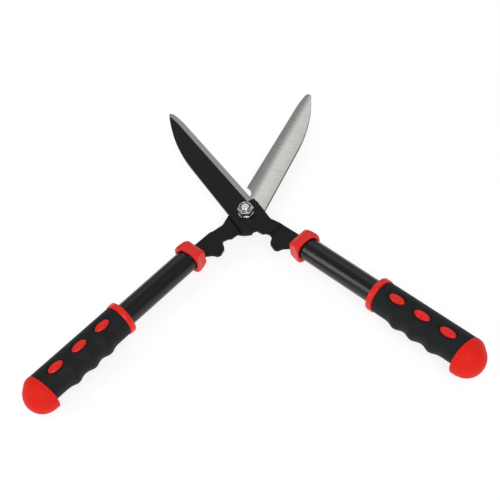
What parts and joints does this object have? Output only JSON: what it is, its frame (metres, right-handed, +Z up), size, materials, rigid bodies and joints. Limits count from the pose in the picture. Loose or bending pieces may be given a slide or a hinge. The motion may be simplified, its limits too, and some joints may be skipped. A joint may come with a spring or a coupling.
{
  "type": "grass shears",
  "caption": "Two-handed grass shears with straight blades on one bolted pivot, tubular handles, ridged rubber grips and domed end caps, shown open.",
  "frame": {"origin": "on the pivot axis, at the flat underside of the pivot bolt's head", "axes": "+Z up along the pivot axis, through the lower blade and then the upper blade; +Y along the centre line between the open blades; +X towards the right handle, which is the upper blade's"},
  "size_m": [0.4606, 0.4181, 0.0415],
  "materials": {
    "upper_blade_steel": "semi-gloss black paint over sheet steel, with a ground bevel along the cutting edge",
    "lower_blade_steel": "ground bare inner face, black paint on the rest",
    "zinc_steel": "bright zinc plate",
    "nylon": "natural nylon",
    "plug_plastic": "moulded dark grey plastic",
    "tube_coating": "gloss black plastic coating on a steel tube",
    "red_plastic": "moulded red plastic, satin gloss",
    "grip_rubber": "soft matte black rubber"
  },
  "bodies": {
    "lower_half": {"lower_blade": "lower_blade_steel", "pivot_bolt": "zinc_steel", "head_washer": "zinc_steel", "nut_washer": "zinc_steel", "pivot_nut": "zinc_steel", "nut_insert": "nylon", "left_tang_plug": "plug_plastic", "left_tang_pin": "zinc_steel", "left_tube": "tube_coating", "left_collar": "red_plastic", "left_grip_core": "red_plastic", "left_grip_sleeve": "grip_rubber", "left_end_cap": "red_plastic"},
    "upper_half": {"upper_blade": "upper_blade_steel", "right_tang_plug": "plug_plastic", "right_tang_pin": "zinc_steel", "right_tube": "tube_coating", "right_collar": "red_plastic", "right_grip_core": "red_plastic", "right_grip_sleeve": "grip_rubber", "right_end_cap": "red_plastic"}
  },
  "joints": [
    {"name": "pivot", "type": "hinge", "parent": "lower_half", "child": "upper_half", "pos_m": [0, 0, 0.01095], "axis": [0, 0, 1], "range_deg": [-53.5, 30]}
  ]
}
